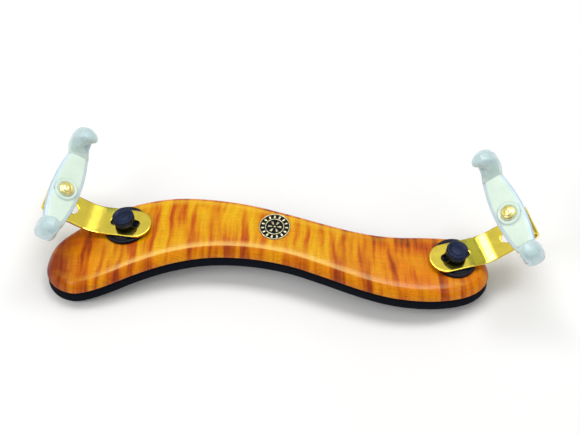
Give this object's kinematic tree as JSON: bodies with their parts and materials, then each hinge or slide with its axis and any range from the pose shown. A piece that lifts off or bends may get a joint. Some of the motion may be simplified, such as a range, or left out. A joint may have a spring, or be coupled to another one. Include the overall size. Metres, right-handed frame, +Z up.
{
  "type": "violin shoulder rest",
  "caption": "Arched S-shaped maple shoulder rest on a foam pad, with swivelling brass brackets and height-adjustable forks that grip a violin's lower bouts.",
  "frame": {"origin": "midway between the two clamp screws, on the crown of the maple plate's top face", "axes": "+X along the plate from the broad lobe to the narrow lobe, +Y to the side where the forks stand, away from the player's chest, +Z up from the pad to the violin"},
  "size_m": [0.248, 0.0806, 0.059],
  "materials": {
    "maple": "gloss amber lacquer on flamed maple",
    "foam": "matt black closed-cell foam",
    "antique_metal": "antiqued relief over dark enamel",
    "black_plastic": "satin black moulding",
    "brass": "polished",
    "steel": "plain zinc-plated thread",
    "milky_plastic": "translucent milky moulding",
    "soft_tip": "translucent soft silicone"
  },
  "bodies": {
    "rest_body": {"maple_body": "maple", "foam_pad": "foam", "medallion": "antique_metal", "left_seat": "black_plastic", "left_insert": "brass", "right_seat": "black_plastic", "right_insert": "brass"},
    "left_bracket_body": {"left_bracket": "brass", "left_bush": "brass"},
    "left_clamp_body": {"left_clamp_screw": "steel"},
    "left_wheel_body": {"left_thumb_wheel": "black_plastic"},
    "left_screw_body": {"left_fork_screw": "brass"},
    "left_fork_body": {"left_fork_bar": "milky_plastic", "left_far_tip": "soft_tip", "left_near_tip": "soft_tip"},
    "right_bracket_body": {"right_bracket": "brass", "right_bush": "brass"},
    "right_clamp_body": {"right_clamp_screw": "steel"},
    "right_wheel_body": {"right_thumb_wheel": "black_plastic"},
    "right_screw_body": {"right_fork_screw": "brass"},
    "right_fork_body": {"right_fork_bar": "milky_plastic", "right_far_tip": "soft_tip", "right_near_tip": "soft_tip"}
  },
  "joints": [
    {"name": "left_bracket_swivel", "type": "hinge", "parent": "rest_body", "child": "left_bracket_body", "pos_m": [-0.0814, 0, -0.00595], "axis": [-0.1454, 0, 0.9894], "continuous": true},
    {"name": "left_clamp_rise", "type": "slide", "parent": "rest_body", "child": "left_clamp_body", "axis": [-0.1454, 0, 0.9894], "range_m": [0, 0.0014]},
    {"name": "left_wheel_turn", "type": "hinge", "parent": "left_clamp_body", "child": "left_wheel_body", "pos_m": [-0.0814, 0, -0.00595], "axis": [-0.1454, 0, 0.9894], "range_deg": [0, 720]},
    {"name": "left_fork_height", "type": "slide", "parent": "left_bracket_body", "child": "left_screw_body", "axis": [0.4125, -0.0701, 0.9083], "range_m": [-0.0027, 0.0085]},
    {"name": "left_fork_turn", "type": "hinge", "parent": "left_screw_body", "child": "left_fork_body", "pos_m": [-0.1122, 0.00363, 0.01153], "axis": [0.4125, -0.0701, 0.9083], "range_deg": [-60, 60]},
    {"name": "right_bracket_swivel", "type": "hinge", "parent": "rest_body", "child": "right_bracket_body", "pos_m": [0.0814, 0, -0.00595], "axis": [0.1454, 0, 0.9894], "continuous": true},
    {"name": "right_clamp_rise", "type": "slide", "parent": "rest_body", "child": "right_clamp_body", "axis": [0.1454, 0, 0.9894], "range_m": [0, 0.0014]},
    {"name": "right_wheel_turn", "type": "hinge", "parent": "right_clamp_body", "child": "right_wheel_body", "pos_m": [0.0814, 0, -0.00595], "axis": [0.1454, 0, 0.9894], "range_deg": [0, 720]},
    {"name": "right_fork_height", "type": "slide", "parent": "right_bracket_body", "child": "right_screw_body", "axis": [-0.3582, -0.2473, 0.9003], "range_m": [-0.0105, 0.0007]},
    {"name": "right_fork_turn", "type": "hinge", "parent": "right_screw_body", "child": "right_fork_body", "pos_m": [0.10661, 0.01086, 0.01896], "axis": [-0.3582, -0.2473, 0.9003], "range_deg": [-60, 60]}
  ],
  "couplings": [
    {"joint": "left_wheel_turn", "follows": "left_clamp_rise", "rad_per_m": 8976},
    {"joint": "right_wheel_turn", "follows": "right_clamp_rise", "rad_per_m": 8976}
  ]
}
